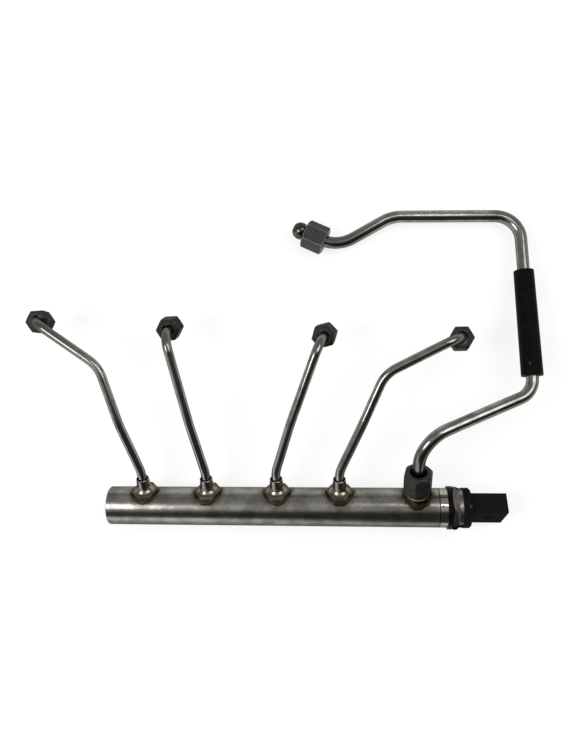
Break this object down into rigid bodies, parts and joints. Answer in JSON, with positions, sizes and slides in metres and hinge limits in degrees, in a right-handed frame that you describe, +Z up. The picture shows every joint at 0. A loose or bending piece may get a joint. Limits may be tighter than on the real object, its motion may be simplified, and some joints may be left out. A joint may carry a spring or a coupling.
{
  "type": "fuel rail",
  "caption": "High-pressure fuel rail tube with bent injector lines and union nuts, a screwed-on feed pipe with a rubber sleeve, and a pressure sensor.",
  "frame": {"origin": "centre of the closed left end of the rail tube, on its axis", "axes": "+X along the rail's axis towards the pressure sensor, +Z up from the bench that the part lies on, +Y towards the free ends of the lines"},
  "size_m": [0.3404, 0.2142, 0.0572],
  "materials": {
    "rail_steel": "satin, stained brown at the brazed ports",
    "pipe_steel": "bright drawn tube, dusty",
    "port_steel": "bright, tinted by heat",
    "nut_phosphate": "dark grey phosphate, matte",
    "braze_bronze": "dull bronze",
    "sleeve_rubber": "matte black",
    "seal_rubber": "black",
    "sensor_steel": "turned, plated",
    "sensor_plastic": "black glass-filled plastic",
    "pin_tin": "tinned"
  },
  "bodies": {
    "rail": {"rail_tube": "rail_steel", "rail_end_plug": "rail_steel", "sensor_adapter": "rail_steel", "feed_port": "port_steel", "feed_nut": "nut_phosphate", "feed_pipe": "pipe_steel", "feed_braze_ring": "braze_bronze", "feed_sleeve": "sleeve_rubber", "sensor_seal_ring": "seal_rubber", "sensor_body": "sensor_steel", "sensor_housing": "sensor_plastic", "port_ferrule_1": "port_steel", "injector_line_1": "pipe_steel", "port_ferrule_2": "port_steel", "injector_line_2": "pipe_steel", "port_ferrule_3": "port_steel", "injector_line_3": "pipe_steel", "port_ferrule_4": "port_steel", "injector_line_4": "pipe_steel", "sensor_pin_1": "pin_tin", "sensor_pin_2": "pin_tin", "sensor_pin_3": "pin_tin"},
    "injector_nut_1_body": {"injector_nut_1": "nut_phosphate"},
    "injector_nut_2_body": {"injector_nut_2": "nut_phosphate"},
    "injector_nut_3_body": {"injector_nut_3": "nut_phosphate"},
    "injector_nut_4_body": {"injector_nut_4": "nut_phosphate"},
    "pump_nut_body": {"pump_nut": "nut_phosphate"}
  },
  "joints": [
    {"name": "injector_nut_1_spin", "type": "hinge", "parent": "rail", "child": "injector_nut_1_body", "pos_m": [-0.03987, 0.12701, 0.02711], "axis": [-0.1289, 0, -0.9917], "continuous": true},
    {"name": "injector_nut_2_spin", "type": "hinge", "parent": "rail", "child": "injector_nut_2_body", "pos_m": [0.04866, 0.11952, 0.02734], "axis": [-0.039, 0.224, -0.9738], "continuous": true},
    {"name": "injector_nut_3_spin", "type": "hinge", "parent": "rail", "child": "injector_nut_3_body", "pos_m": [0.15005, 0.1139, 0.02724], "axis": [0.0834, 0.1718, -0.9816], "continuous": true},
    {"name": "injector_nut_4_spin", "type": "hinge", "parent": "rail", "child": "injector_nut_4_body", "pos_m": [0.23665, 0.11181, 0.02706], "axis": [0.0597, -0.0796, -0.995], "continuous": true},
    {"name": "pump_nut_spin", "type": "hinge", "parent": "rail", "child": "pump_nut_body", "pos_m": [0.15083, 0.18018, -0.0061], "axis": [-0.9059, 0.4234, 0], "continuous": true}
  ]
}
